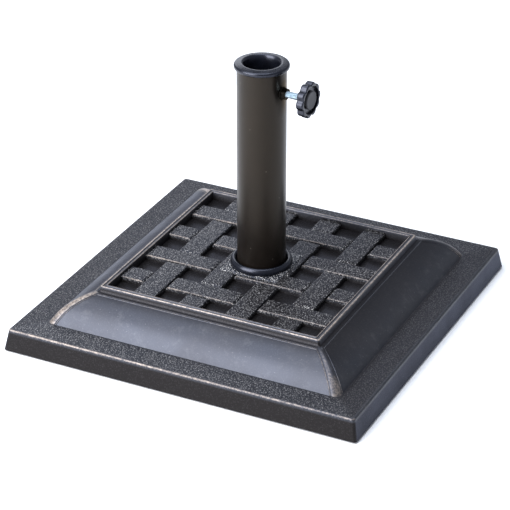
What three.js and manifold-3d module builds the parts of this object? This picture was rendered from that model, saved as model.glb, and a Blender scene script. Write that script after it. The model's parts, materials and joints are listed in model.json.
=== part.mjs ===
// Parasol base: weighted square plate with a woven relief, stem tube, reducer collar and clamp screw.
// Millimetres, +Z up. Origin: on the ground, under the centre of the plate.
// The front edge faces -Y, and the clamp screw points towards +X, turned a little to the front.
import * as THREE from 'three';
import { mergeVertices } from 'three/addons/utils/BufferGeometryUtils.js';
import Module from 'manifold-3d';

const wasm = await Module();
wasm.setup();

// ---------- driving dimensions ----------
const gap = 0.3;                // clearance kept between neighbouring pieces
const footProud = 2;            // how far the rubber feet stand below the shell's rim
const skin = 3;                 // wall of the moulded shell

const plateHalf = 225;          // half width at the shell's lower rim
const plateTopHalf = 220.4;     // half width where the drafted side meets the top edge
const plateTopZ = footProud + 26.5;
const plateCorner = 4;          // vertical corner radius of the plate
const edgeRound = 2.4;          // worn rounding along the plate's top edge

const frustumFootHalf = 186.7;
const frustumTopHalf = 144.5;
const frustumTopZ = footProud + 57;
const frustumBulge = 5.6;       // how far the convex side stands above its chord
const frustumRise = frustumTopZ - plateTopZ;
const frustumRun = frustumFootHalf - frustumTopHalf;
const frustumSlant = Math.hypot(frustumRise, frustumRun);
const hipFoot = 8;              // hip radius at the foot of the frustum
const hipTop = 2.5;             // hip radius at its top

const frameOuterHalf = 140.3;
const frameInnerHalf = 134.4;
const frameTopZ = footProud + 63.9;
const panFloorHalf = 133.4;
const panFloorZ = footProud + 53.2;

const strapPitch = 59.6;        // spacing of the woven straps
const strapWidth = 27.5;
const strapTopZ = footProud + 60.2;
const strapFlat = 40;           // half length of the flat part of a strap over its crossing
const strapReach = 46;          // half length to the end of its rounded dip
const strapCount = 4;
const strapChamfer = 0.8;

const bossHalf = 37.5;          // square boss under the stem
const bossTopZ = footProud + 61.7;
const socketDepth = 25;

const tubeRadius = 29;
const tubeWall = 1.5;
const tubeInner = tubeRadius - tubeWall;
const socketRadius = tubeRadius + gap;
const cupRadius = socketRadius + skin; // outside of the socket cup
const socketFloorZ = bossTopZ - socketDepth;

const collarTopZ = footProud + 320.7;
const collarFlangeRadius = 32.3;
const collarFlangeThick = 6.5;
const collarMouthRadius = 22;
const poleBoreRadius = 19.75;   // takes the common 38 mm pole
const collarSkirtLength = 14;
const tubeTopZ = collarTopZ - collarFlangeThick - gap;

const ringOuterRadius = 37.4;
const ringHeight = 7.5;

const ballastBottomZ = footProud + 3;
const pocketRadius = 24;        // wrench pocket in the ballast's underside
const pocketRoofZ = 18;
const footRadius = 18;
const footThick = 7;
const footSpread = 185;         // feet centres from the middle, along X and along Y

const boltRadius = 5;           // M10 anchor bolt
const boltHeadFlats = 17;
const boltHeadHeight = 6.4;
const boltHole = boltRadius + gap;
const washerRadius = 19;
const washerThick = 2.5;
const springRadius = 9;
const springThick = 2.2;
const springSplit = 1.6;
const stemFloorThick = 4;
const floorNutHeight = 8;
const boltStandOut = 1.4;       // bolt tip above the floor nut
const sleeveWall = 1.6;

const clampZ = footProud + 288; // height of the clamp screw's axis
const clampTurn = THREE.MathUtils.degToRad(-5); // screw axis, from +X towards the front
const studRadius = 4;           // M8 clamp stud
const studHole = studRadius + gap;
const clampNutFlats = 13;
const clampNutFace = 34;        // outer face of the weld nut, from the stem's axis
const tipFace = 21.8;           // pad face that meets the pole, from the stem's axis
const tipBack = 25.6;
const tipRadius = 5.5;
const studEnd = 23.6;
const knobLobes = 10;
const knobRadius = 21.4;        // over the lobes
const lobeDepth = 2.4;
const knobBack = 57;
const knobFront = 66;
const knobHubBack = 55.5;
const knobHubRadius = 8;
const knobHollow = 5;           // depth of the hollow in the knob's back
const knobRimInner = 16.6;
const knobFaceRecess = 2.2;
const knobFaceRadius = 17;
const knobLobeTurn = THREE.MathUtils.degToRad(21); // a lobe's place, from the top towards the front
const studHeadFlats = 13;
const studHeadBack = 58.5;
const studHeadHeight = 5;
const capRadius = 11;

const round = 40;               // facets round a full turn
const reach = 1;                // how far a cutting tool runs past the face that it cuts

// ---------- solids ----------
function solidOf(geometry) {
  const bare = geometry.clone();
  bare.deleteAttribute('normal');
  bare.deleteAttribute('uv');
  const merged = mergeVertices(bare, 1e-4);
  const index = merged.index.array;
  const triVerts = [];
  for (let i = 0; i < index.length; i += 3) {
    const [a, b, c] = [index[i], index[i + 1], index[i + 2]];
    if (a !== b && b !== c && c !== a) triVerts.push(a, b, c);
  }
  return new wasm.Manifold(new wasm.Mesh({
    numProp: 3,
    vertProperties: new Float32Array(merged.attributes.position.array),
    triVerts: new Uint32Array(triVerts),
  }));
}

function geometryOf(solid) {
  const mesh = solid.getMesh();
  const geometry = new THREE.BufferGeometry();
  geometry.setAttribute('position', new THREE.BufferAttribute(new Float32Array(mesh.vertProperties), 3));
  geometry.setIndex(new THREE.BufferAttribute(new Uint32Array(mesh.triVerts), 1));
  geometry.computeVertexNormals();
  return geometry;
}

// A body whose horizontal sections are rounded squares; levels run from the bottom to the top face.
function squareStack(levels, cornerSteps = 3) {
  const ringSize = 4 * (cornerSteps + 1);
  const positions = [0, 0, levels[0].z];
  for (const { half, corner, z } of levels) {
    for (let quarter = 0; quarter < 4; quarter++) {
      for (let step = 0; step <= cornerSteps; step++) {
        const centre = Math.PI / 4 + quarter * Math.PI / 2;
        const angle = centre + (step / cornerSteps - 0.5) * Math.PI / 2;
        const middle = half - corner;
        positions.push(Math.sign(Math.cos(centre)) * middle + corner * Math.cos(angle));
        positions.push(Math.sign(Math.sin(centre)) * middle + corner * Math.sin(angle), z);
      }
    }
  }
  const topCentre = positions.length / 3;
  positions.push(0, 0, levels[levels.length - 1].z);
  const faces = [];
  const lastRing = 1 + (levels.length - 1) * ringSize;
  for (let i = 0; i < ringSize; i++) {
    const next = (i + 1) % ringSize;
    faces.push(0, 1 + next, 1 + i, topCentre, lastRing + i, lastRing + next);
    for (let level = 0; level + 1 < levels.length; level++) {
      const low = 1 + level * ringSize;
      const high = low + ringSize;
      faces.push(low + i, low + next, high + next, low + i, high + next, high + i);
    }
  }
  const geometry = new THREE.BufferGeometry();
  geometry.setAttribute('position', new THREE.Float32BufferAttribute(positions, 3));
  geometry.setIndex(faces);
  return solidOf(geometry);
}

// A turned body round +Z; points are [radius, height], with the material on the left of the path.
function turned(points, segments = round) {
  const profile = points.map(([radius, height]) => new THREE.Vector2(radius, height));
  return solidOf(new THREE.LatheGeometry(profile, segments).rotateX(Math.PI / 2));
}

function disc(radius, low, high, segments = round) {
  return turned([[0, low], [radius, low], [radius, high], [0, high]], segments);
}

function sleeve(inner, outer, low, high, segments = round) {
  return turned([[inner, low], [outer, low], [outer, high], [inner, high], [inner, low]], segments);
}

// A plate wider than the whole base, used to cut a body off level.
function slab(low, high) {
  const plate = new THREE.BoxGeometry(3 * plateHalf, 3 * plateHalf, high - low);
  return solidOf(plate.translate(0, 0, (low + high) / 2));
}

// A hexagonal bar along +Z.
function hexBar(acrossFlats, low, high) {
  return disc(acrossFlats / Math.sqrt(3), low, high, 6);
}

// Turns a body built along +Z so that it lies along +X, and then round the screw's axis.
const alongX = (solid, turn = 0) => solid.rotate([0, 90, 0]).rotate([THREE.MathUtils.radToDeg(turn), 0, 0]);

// Points of a quarter arc from one angle to another, in degrees.
function arcPoints(centreX, centreY, radiusX, radiusY, from, to, steps) {
  const points = [];
  for (let step = 0; step <= steps; step++) {
    const angle = THREE.MathUtils.degToRad(from + (to - from) * step / steps);
    points.push([centreX + radiusX * Math.cos(angle), centreY + radiusY * Math.sin(angle)]);
  }
  return points;
}

// ---------- weighted base ----------
// Levels of the convex frustum side; the inset moves them square to the slope for the inner face.
function frustumLevels(inset, steps = 4) {
  const levels = [];
  for (let step = 0; step <= steps; step++) {
    const t = step / steps;
    const outwards = frustumBulge * 4 * t * (1 - t) - inset;
    levels.push({
      half: frustumFootHalf - frustumRun * t + outwards * frustumRise / frustumSlant,
      corner: hipFoot + (hipTop - hipFoot) * t,
      z: plateTopZ + frustumRise * t + outwards * frustumRun / frustumSlant,
    });
  }
  return levels;
}

function shellOutside() {
  const rimArc = arcPoints(plateTopHalf - edgeRound, plateTopZ - edgeRound, edgeRound, edgeRound, 0, 90, 3);
  return squareStack([
    { half: plateHalf, corner: plateCorner, z: footProud },
    ...rimArc.map(([half, z]) => ({ half, corner: plateCorner - 1, z })),
    ...frustumLevels(0),
    { half: frameOuterHalf, corner: hipTop, z: frameTopZ },
    { half: frameInnerHalf, corner: hipTop, z: frameTopZ },
    { half: panFloorHalf, corner: hipTop, z: panFloorZ },
  ]);
}

// The space inside the skin, up to the ceiling under the woven panel; the inset draws it in.
function shellInside(inset) {
  const underTopZ = plateTopZ - skin;
  const lowZ = footProud - reach;
  const draft = (plateHalf - plateTopHalf) / (plateTopZ - footProud);
  const innerHalf = (z) => plateHalf - skin - draft * (z - footProud);
  const slope = frustumLevels(skin);
  const corner = plateCorner - skin;
  const levels = [
    { half: innerHalf(lowZ), corner, z: lowZ },
    { half: innerHalf(underTopZ), corner, z: underTopZ },
    { half: slope[0].half, corner: hipFoot, z: underTopZ },
    ...slope,
  ];
  return squareStack(levels.map((level) => ({ ...level, half: level.half - inset, z: level.z - inset })))
    .subtract(slab(panFloorZ - skin - inset, frameTopZ));
}

// One woven hump: a strap that passes over a crossing and dips down at both ends.
function strapHump(centre) {
  const dip = strapReach - strapFlat;
  const drop = strapTopZ - panFloorZ;
  const low = panFloorZ - reach;
  const start = Math.max(centre - strapReach, -panFloorHalf - reach / 2);
  const end = Math.min(centre + strapReach, panFloorHalf + reach / 2);
  const side = new THREE.Shape();
  side.moveTo(start, low);
  side.lineTo(end, low);
  if (end < centre + strapReach) side.lineTo(end, strapTopZ);
  else side.absellipse(centre + strapFlat, panFloorZ, dip, drop, 0, Math.PI / 2, false);
  if (start > centre - strapReach) side.lineTo(start, strapTopZ);
  else side.absellipse(centre - strapFlat, panFloorZ, dip, drop, Math.PI / 2, Math.PI, false);
  const width = strapWidth - 2 * strapChamfer;
  const body = new THREE.ExtrudeGeometry(side, {
    depth: width, curveSegments: 3, steps: 1, bevelEnabled: true,
    bevelThickness: strapChamfer, bevelSize: strapChamfer, bevelOffset: -strapChamfer, bevelSegments: 1,
  });
  return solidOf(body.translate(0, 0, -width / 2).rotateX(Math.PI / 2));
}

// All straps of the plain weave; neighbouring crossings alternate between over and under.
function weave() {
  const straps = [];
  for (let row = 0; row < strapCount; row++) {
    const across = (row - (strapCount - 1) / 2) * strapPitch;
    for (let crossing = -1; crossing <= strapCount; crossing++) {
      const along = (crossing - (strapCount - 1) / 2) * strapPitch;
      const alongXIsOver = (row + crossing) % 2 !== 0;
      const hump = strapHump(along);
      if (alongXIsOver) straps.push(hump.translate([0, across, 0]));
      else straps.push(hump.rotate([0, 0, 90]).translate([across, 0, 0]));
    }
  }
  return straps.reduce((sum, strap) => sum.add(strap));
}

function boss() {
  return squareStack([
    { half: bossHalf + 0.6, corner: 2, z: panFloorZ - reach },
    { half: bossHalf + 0.6, corner: 2, z: panFloorZ },
    { half: bossHalf, corner: 2, z: bossTopZ - 0.8 },
    { half: bossHalf - 0.8, corner: 1.5, z: bossTopZ },
  ], 2);
}

function baseShell() {
  return shellOutside()
    .add(weave())
    .add(boss())
    .subtract(shellInside(0))
    .subtract(disc(cupRadius + gap, panFloorZ - skin - reach, bossTopZ + reach));
}

// The cup that lines the hole in the boss and takes the foot of the stem.
function stemSocket() {
  return disc(cupRadius, socketFloorZ - skin, bossTopZ)
    .subtract(disc(socketRadius, socketFloorZ, bossTopZ + reach))
    .subtract(disc(boltHole + gap, socketFloorZ - skin - reach, socketFloorZ + reach, 24));
}

function footCentres() {
  return [[1, -1], [1, 1], [-1, 1], [-1, -1]].map(([x, y]) => [x * footSpread, y * footSpread]);
}

const sleeveTopZ = socketFloorZ - skin - gap;

function ballastFill() {
  let fill = shellInside(gap)
    .subtract(slab(0, ballastBottomZ))
    .subtract(disc(cupRadius + gap, sleeveTopZ, panFloorZ))
    .subtract(disc(boltHole + sleeveWall + gap, pocketRoofZ - reach, sleeveTopZ + reach, 24))
    .subtract(disc(pocketRadius, ballastBottomZ - reach, pocketRoofZ));
  for (const [x, y] of footCentres()) {
    const socket = disc(footRadius + gap, ballastBottomZ - reach, footThick + gap, 32);
    fill = fill.subtract(socket.translate([x, y, 0]));
  }
  return fill;
}

function footPad([x, y]) {
  const edge = 1.2;
  const pad = turned([
    [0, 0], [footRadius - edge, 0], [footRadius, edge], [footRadius, footThick], [0, footThick],
  ], 32);
  return pad.translate([x, y, 0]);
}

// ---------- anchor hardware, stacked downwards from the pocket's roof ----------
const washerTopZ = pocketRoofZ - gap;
const springTopZ = washerTopZ - washerThick - gap;
const boltHeadTopZ = springTopZ - springThick - gap;
const stemFloorZ = socketFloorZ + gap;
const floorNutZ = stemFloorZ + stemFloorThick + gap;

function anchorBolt() {
  const tipZ = floorNutZ + floorNutHeight + boltStandOut;
  const head = hexBar(boltHeadFlats, boltHeadTopZ - boltHeadHeight, boltHeadTopZ);
  const shank = turned([
    [0, boltHeadTopZ - reach], [boltRadius, boltHeadTopZ - reach],
    [boltRadius, tipZ - 1], [boltRadius - 1, tipZ], [0, tipZ],
  ], 24);
  return head.add(shank);
}

function springWasher() {
  const ring = sleeve(boltHole, springRadius, springTopZ - springThick, springTopZ, 32);
  const split = new THREE.BoxGeometry(springRadius * 2, springSplit, springThick + 2 * reach);
  split.translate(springRadius, 0, springTopZ - springThick / 2);
  return ring.subtract(solidOf(split));
}

function floorNut() {
  const hole = disc(boltHole, floorNutZ - reach, floorNutZ + floorNutHeight + reach, 24);
  return hexBar(boltHeadFlats, floorNutZ, floorNutZ + floorNutHeight).subtract(hole);
}

// ---------- stem ----------
function stemTube() {
  const hole = alongX(disc(studHole + gap, 0, tubeRadius + 10, 24));
  return sleeve(tubeInner, tubeRadius, stemFloorZ, tubeTopZ)
    .subtract(hole.rotate([0, 0, THREE.MathUtils.radToDeg(clampTurn)]).translate([0, 0, clampZ]));
}

function footRing() {
  const lowZ = bossTopZ + gap;
  const inner = socketRadius;
  const width = ringOuterRadius - inner;
  return turned([
    [inner, lowZ],
    ...arcPoints(inner, lowZ, width, ringHeight, 0, 90, 4),
    [inner, lowZ],
  ]);
}

function topCollar() {
  const flangeZ = collarTopZ - collarFlangeThick;
  const skirtZ = flangeZ - collarSkirtLength;
  const skirtRadius = tubeInner - gap;
  const wall = 2;
  const edge = 2;
  const leadIn = collarMouthRadius - poleBoreRadius;
  return turned([
    [poleBoreRadius, skirtZ], [poleBoreRadius + wall, skirtZ],
    [poleBoreRadius + wall, flangeZ], [skirtRadius - wall, flangeZ],
    [skirtRadius - wall, skirtZ], [skirtRadius, skirtZ], [skirtRadius, flangeZ],
    ...arcPoints(collarFlangeRadius - edge / 2, flangeZ + edge / 2, edge / 2, edge / 2, -90, 0, 1),
    ...arcPoints(collarFlangeRadius - edge, collarTopZ - edge, edge, edge, 0, 90, 3),
    ...arcPoints(collarMouthRadius, collarTopZ - leadIn * 1.6, leadIn, leadIn * 1.6, 90, 180, 3),
    [poleBoreRadius, skirtZ],
  ]);
}

// ---------- clamp screw, built along +X from the stem's axis ----------
function clampNut() {
  const saddle = disc(tubeRadius + gap, -clampNutFlats, clampNutFlats, 80);
  return alongX(hexBar(clampNutFlats, tubeInner, clampNutFace))
    .subtract(alongX(disc(studHole, 0, clampNutFace + reach, 24)))
    .subtract(saddle);
}

function clampStud() {
  const head = hexBar(studHeadFlats, studHeadBack, studHeadBack + studHeadHeight);
  const shank = turned([
    [0, studEnd], [studRadius - 0.8, studEnd], [studRadius, studEnd + 0.8],
    [studRadius, studHeadBack + reach], [0, studHeadBack + reach],
  ], 24);
  return alongX(head.add(shank), knobLobeTurn);
}

function clampTip() {
  const face = turned([
    [0, tipFace], [tipRadius - 0.8, tipFace], [tipRadius, tipFace + 0.8],
    [tipRadius, tipBack], [0, tipBack],
  ], 24);
  return alongX(face.subtract(disc(studHole, studEnd - gap, tipBack + reach, 24)));
}

function clampKnob() {
  const outline = new THREE.Shape();
  const bevel = 1;
  const steps = knobLobes * 6;
  for (let step = 0; step < steps; step++) {
    const angle = step / steps * 2 * Math.PI;
    const radius = knobRadius - lobeDepth * (0.5 - 0.5 * Math.cos(knobLobes * angle));
    const [x, y] = [radius * Math.cos(angle), radius * Math.sin(angle)];
    if (step === 0) outline.moveTo(x, y);
    else outline.lineTo(x, y);
  }
  const body = new THREE.ExtrudeGeometry(outline, {
    depth: knobFront - knobBack - 2 * bevel, bevelEnabled: true, bevelThickness: bevel,
    bevelSize: bevel, bevelOffset: -bevel, bevelSegments: 1,
  });
  const lobed = solidOf(body.translate(0, 0, knobBack + bevel));
  const hollow = sleeve(knobHubRadius, knobRimInner, knobBack - reach, knobBack + knobHollow);
  const hub = disc(knobHubRadius, knobHubBack, knobBack + knobHollow + reach);
  const face = disc(knobFaceRadius, knobFront - knobFaceRecess, knobFront + reach);
  const pocket = hexBar(studHeadFlats + 2 * gap, studHeadBack - gap, knobFront);
  const hole = disc(studHole, knobHubBack - reach, knobFront, 24);
  const knob = lobed.subtract(hollow).add(hub).subtract(face).subtract(pocket).subtract(hole);
  return alongX(knob, knobLobeTurn);
}

function knobCap() {
  const low = knobFront - knobFaceRecess + gap;
  const high = knobFront + 0.2;
  const edge = 0.6;
  return alongX(turned([
    [0, low], [capRadius, low], [capRadius, high - edge], [capRadius - edge, high], [0, high],
  ]));
}

// ---------- assembly ----------
const resin = { color: 0x3b3a3a, roughness: 0.5, metalness: 0.15 };
const cement = { color: 0x9b9890, roughness: 0.95, metalness: 0 };
const rubber = { color: 0x1c1c1c, roughness: 0.9, metalness: 0 };
const powderCoat = { color: 0x3a3632, roughness: 0.4, metalness: 0.3 };
const zincSteel = { color: 0xb7c6cf, roughness: 0.3, metalness: 1 };
const blackPlastic = { color: 0x22252b, roughness: 0.4, metalness: 0 };
const greyPlastic = { color: 0x5a5a5c, roughness: 0.55, metalness: 0 };
const nylon = { color: 0xd8d6cc, roughness: 0.5, metalness: 0 };

const group = new THREE.Group();
const clampGroup = new THREE.Group();
clampGroup.position.z = clampZ;
clampGroup.rotation.z = clampTurn;
group.add(clampGroup);

function place(name, solid, finish, parent = group) {
  const mesh = new THREE.Mesh(geometryOf(solid), new THREE.MeshStandardMaterial(finish));
  mesh.name = name;
  parent.add(mesh);
}

place('base_shell', baseShell(), resin);
place('ballast_fill', ballastFill(), cement);
place('stem_socket', stemSocket(), blackPlastic);
footCentres().forEach((centre, i) => place(`foot_pad_${i + 1}`, footPad(centre), rubber));
place('bolt_sleeve', sleeve(boltHole, boltHole + sleeveWall, pocketRoofZ, sleeveTopZ, 24), greyPlastic);
place('anchor_washer', sleeve(boltHole, washerRadius, washerTopZ - washerThick, washerTopZ), zincSteel);
place('spring_washer', springWasher(), zincSteel);
place('anchor_bolt', anchorBolt(), zincSteel);
place('stem_floor', sleeve(boltHole, tubeInner - gap, stemFloorZ, stemFloorZ + stemFloorThick), zincSteel);
place('floor_nut', floorNut(), zincSteel);
place('stem_tube', stemTube(), powderCoat);
place('foot_ring', footRing(), blackPlastic);
place('top_collar', topCollar(), blackPlastic);
place('clamp_nut', clampNut(), powderCoat, clampGroup);
place('clamp_tip', clampTip(), nylon, clampGroup);
place('clamp_stud', clampStud(), zincSteel, clampGroup);
place('clamp_knob', clampKnob(), blackPlastic, clampGroup);
place('knob_cap', knobCap(), greyPlastic, clampGroup);

export default group;
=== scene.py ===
import json
import math

import bmesh
import bpy
from mathutils import Matrix, Vector


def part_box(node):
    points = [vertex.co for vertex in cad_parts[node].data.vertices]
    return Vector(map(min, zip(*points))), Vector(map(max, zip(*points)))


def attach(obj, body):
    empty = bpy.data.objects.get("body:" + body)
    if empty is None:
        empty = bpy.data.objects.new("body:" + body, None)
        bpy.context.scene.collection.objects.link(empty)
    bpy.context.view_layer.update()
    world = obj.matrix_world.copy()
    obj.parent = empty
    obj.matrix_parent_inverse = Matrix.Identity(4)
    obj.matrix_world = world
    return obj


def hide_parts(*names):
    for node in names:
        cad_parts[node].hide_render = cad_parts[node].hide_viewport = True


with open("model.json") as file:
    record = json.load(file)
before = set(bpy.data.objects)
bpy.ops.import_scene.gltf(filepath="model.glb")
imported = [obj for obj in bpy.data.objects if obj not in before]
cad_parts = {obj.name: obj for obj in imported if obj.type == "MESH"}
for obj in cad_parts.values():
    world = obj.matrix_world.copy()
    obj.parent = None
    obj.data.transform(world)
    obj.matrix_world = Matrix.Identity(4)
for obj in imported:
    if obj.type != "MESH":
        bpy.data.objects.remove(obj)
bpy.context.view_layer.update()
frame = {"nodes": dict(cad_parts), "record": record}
record = frame["record"]
mm = 0.001  # the pieces are drawn in millimetres and brought to metres when they are finished
gap = 0.3   # clearance between neighbouring pieces, in millimetres
print("frame loaded:", len(frame["nodes"]), "nodes")


def nodeBox(name):
    # lowest and highest corner of a node, in millimetres
    low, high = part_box(name)
    return low / mm, high / mm


cameraView = {
    "turn": 26.29,       # degrees round the object, from the front towards its right
    "rise": 28.46,       # degrees above the ground
    "distance": 2665.7,  # mm from the aim point
    "aim": (-6.5, -4.3, 73.0),
    "lens": 157.96,
}


def makeCamera(view):
    turn, rise = math.radians(view["turn"]), math.radians(view["rise"])
    back = Vector((math.sin(turn) * math.cos(rise), -math.cos(turn) * math.cos(rise), math.sin(rise)))
    camera = bpy.data.objects.new("camera", bpy.data.cameras.new("camera"))
    camera.data.lens = view["lens"]
    camera.data.sensor_width = 36
    camera.data.clip_end = 50
    camera.location = (Vector(view["aim"]) + back * view["distance"]) * mm
    camera.rotation_euler = (-back).to_track_quat("-Z", "Y").to_euler()
    bpy.context.scene.collection.objects.link(camera)
    bpy.context.scene.camera = camera


makeCamera(cameraView)


def linear(code):
    # sRGB hex to the linear colour that the shaders take
    parts = [int(code[i:i + 2], 16) / 255 for i in (0, 2, 4)]
    return [p / 12.92 if p <= 0.04045 else ((p + 0.055) / 1.055) ** 2.4 for p in parts] + [1.0]


def perMetre(size):
    # scale of a pattern whose features are this many millimetres apart
    return 1 / (size * mm)


def addNode(tree, kind, sockets=None, **settings):
    # adds a shader node; each socket, by name or number, takes a value, a node's output or a node
    node = tree.nodes.new("ShaderNode" + kind)
    for name, value in settings.items():
        setattr(node, name, value)
    for name, value in (sockets or {}).items():
        if isinstance(value, bpy.types.Node):
            value = next(output for output in value.outputs if output.enabled)
        if isinstance(value, bpy.types.NodeSocket):
            tree.links.new(value, node.inputs[name])
        else:
            node.inputs[name].default_value = value
    return node


def newMaterial(name):
    material = bpy.data.materials.new(name)
    material.use_nodes = True
    material.node_tree.nodes.clear()
    return material, material.node_tree


def bronzedResin():
    # Antique-bronze moulded resin: black-brown enamel sprayed over a leather-grained mould face, with bronze
    # powder rubbed along the edges. It gives dark, softly glossy flats, grain with painted glints, pale worn
    # lines with painted highlight, and painted shade in the deep parts, down the sides and towards the right.
    material, tree = newMaterial("bronzedResin")
    place = addNode(tree, "TexCoord").outputs["Object"]
    wearAndPaintedLight = addNode(tree, "Attribute", attribute_name="wearAndPaintedLight").outputs["Fac"]
    grain = addNode(tree, "Attribute", attribute_name="grain").outputs["Fac"]
    cloud = addNode(tree, "TexNoise", {
        "Vector": place, "Scale": perMetre(55), "Detail": 4.0, "Roughness": 0.6})
    fine = addNode(tree, "TexNoise", {
        "Vector": place, "Scale": perMetre(2.4), "Detail": 3.0, "Roughness": 0.65})

    # leather grain of the mould: pebbles about 1.9 mm apart, pulled out of line by a slower noise
    wander = addNode(tree, "TexNoise", {"Vector": place, "Scale": perMetre(4.0), "Detail": 1.0})
    shift = addNode(tree, "VectorMath", {
        0: wander.outputs["Color"], "Scale": 2.2 * mm}, operation="SCALE")
    grainPlace = addNode(tree, "VectorMath", {0: place, 1: shift}, operation="ADD")
    pebble = addNode(tree, "TexVoronoi", {"Vector": grainPlace, "Scale": perMetre(1.9)})
    pebbleTop = addNode(tree, "MapRange", {
        "Value": pebble, "From Min": 0.62, "From Max": 0.12})

    # enamel, a little lighter and browner in patches, with painted shade: black in the hollows of the grain
    patch = addNode(tree, "MapRange", {"Value": cloud, "From Min": 0.35, "From Max": 0.65})
    enamel = addNode(tree, "Mix", {
        "Factor": patch, 6: linear("17171a"), 7: linear("211f1f")}, data_type="RGBA")
    hollow = addNode(tree, "MapRange", {
        "Value": pebbleTop, "From Min": 0.55, "From Max": 0.1, "To Max": 0.9})
    grainHollowShade = addNode(tree, "Math", {0: hollow, 1: grain}, operation="MULTIPLY", use_clamp=True)
    enamel = addNode(tree, "Mix", {
        "Factor": grainHollowShade, 6: enamel, 7: linear("070708")}, data_type="RGBA")

    # painted shade (negative values of the wear attribute): dark brown-black in the deep parts, down the
    # sides and towards the right
    paintedShade = addNode(tree, "MapRange", {"Value": wearAndPaintedLight, "From Min": 0.0, "From Max": -1.0})
    enamel = addNode(tree, "Mix", {
        "Factor": paintedShade, 6: enamel, 7: linear("1a1612")}, data_type="RGBA")

    # bronze powder and painted glints: near-white flecks on the tops of the grain, most of all where the
    # grain stands high
    caught = addNode(tree, "MapRange", {
        "Value": fine, "From Min": 0.42, "From Max": 0.6, "To Min": 0.3, "To Max": 1.0})
    crown = addNode(tree, "MapRange", {"Value": pebbleTop, "From Min": 0.3, "From Max": 0.9})
    fleckAndGlint = addNode(tree, "Math", {0: caught, 1: crown}, operation="MULTIPLY")
    dusted = addNode(tree, "MapRange", {
        "Value": grain, "From Min": 0.4, "From Max": 2.4, "To Min": 0.02, "To Max": 1.3})
    fleckAndGlint = addNode(tree, "Math", {0: fleckAndGlint, 1: dusted}, operation="MULTIPLY", use_clamp=True)
    enamel = addNode(tree, "Mix", {
        "Factor": fleckAndGlint, 6: enamel, 7: linear("dedbd8")}, data_type="RGBA")

    # rubbed edges with painted highlight, broken up by the fine noise and by the slow one
    broken = addNode(tree, "MapRange", {
        "Value": fine, "From Min": 0.3, "From Max": 0.6, "To Min": 0.35, "To Max": 1.2})
    patchy = addNode(tree, "MapRange", {
        "Value": cloud, "From Min": 0.3, "From Max": 0.6, "To Min": 0.5, "To Max": 1.15})
    rubAndHighlight = addNode(tree, "Math", {0: wearAndPaintedLight, 1: broken}, operation="MULTIPLY")
    rubAndHighlight = addNode(tree, "Math", {0: rubAndHighlight, 1: patchy}, operation="MULTIPLY")
    rubAndHighlight = addNode(tree, "MapRange", {
        "Value": rubAndHighlight, "From Min": 0.15, "From Max": 1.0, "To Max": 0.9})
    bronze = addNode(tree, "Mix", {
        "Factor": fine, 6: linear("75685d"), 7: linear("bcaea1")}, data_type="RGBA")
    colour = addNode(tree, "Mix", {"Factor": rubAndHighlight, 6: enamel, 7: bronze}, data_type="RGBA")

    # dust specks and dull smudges on the smooth faces
    speck = addNode(tree, "TexVoronoi", {"Vector": place, "Scale": perMetre(6.5)})
    dots = addNode(tree, "MapRange", {"Value": speck, "From Min": 0.1, "From Max": 0.06})
    haze = addNode(tree, "TexNoise", {
        "Vector": place, "Scale": perMetre(16), "Detail": 6.0, "Roughness": 0.75})
    smudge = addNode(tree, "MapRange", {
        "Value": haze, "From Min": 0.53, "From Max": 0.75, "To Max": 0.6})
    mark = addNode(tree, "Math", {0: dots, 1: smudge}, operation="MAXIMUM")
    smooth = addNode(tree, "MapRange", {
        "Value": grain, "From Min": 0.5, "From Max": 0.1, "To Max": 0.2})
    clear = addNode(tree, "MapRange", {"Value": wearAndPaintedLight, "From Min": -0.5, "From Max": 0.0})
    mark = addNode(tree, "Math", {0: mark, 1: smooth}, operation="MULTIPLY")
    mark = addNode(tree, "Math", {0: mark, 1: clear}, operation="MULTIPLY")
    colour = addNode(tree, "Mix", {
        "Factor": mark, 6: colour, 7: linear("949290")}, data_type="RGBA")

    # gloss: satin on the smooth faces and duller over the grain; the bronze is a little metallic, and so is
    # the painted shade between the flecks, which keeps its reflection dark
    satin = addNode(tree, "MapRange", {
        "Value": grain, "From Min": 0.0, "From Max": 1.0, "To Min": 0.4, "To Max": 0.52})
    uneven = addNode(tree, "MapRange", {
        "Value": cloud, "From Min": 0.3, "From Max": 0.7, "To Min": -0.04, "To Max": 0.06})
    rough = addNode(tree, "Math", {0: satin, 1: uneven}, operation="ADD")
    metal = addNode(tree, "Math", {0: rubAndHighlight, 1: 0.35}, operation="MULTIPLY")
    bare = addNode(tree, "Math", {0: 0.75, 1: fleckAndGlint}, operation="SUBTRACT", use_clamp=True)
    darkenedReflection = addNode(tree, "Math", {0: paintedShade, 1: bare}, operation="MULTIPLY")
    metal = addNode(tree, "Math", {0: metal, 1: darkenedReflection}, operation="ADD")
    relief = addNode(tree, "Math", {0: pebbleTop, 1: grain}, operation="MULTIPLY")
    ripple = addNode(tree, "Math", {0: fine, 1: 0.1}, operation="MULTIPLY")
    height = addNode(tree, "Math", {0: relief, 1: ripple}, operation="ADD")
    bump = addNode(tree, "Bump", {"Height": height, "Strength": 1.0, "Distance": 0.45 * mm})
    # painted reflection: the bluish specular tint stands in for a blue sky
    shader = addNode(tree, "BsdfPrincipled", {
        "Base Color": colour, "Roughness": rough, "Metallic": metal, "IOR": 1.56,
        "Specular Tint": linear("e3eaff"), "Normal": bump})
    addNode(tree, "OutputMaterial", {"Surface": shader})
    return material


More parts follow.
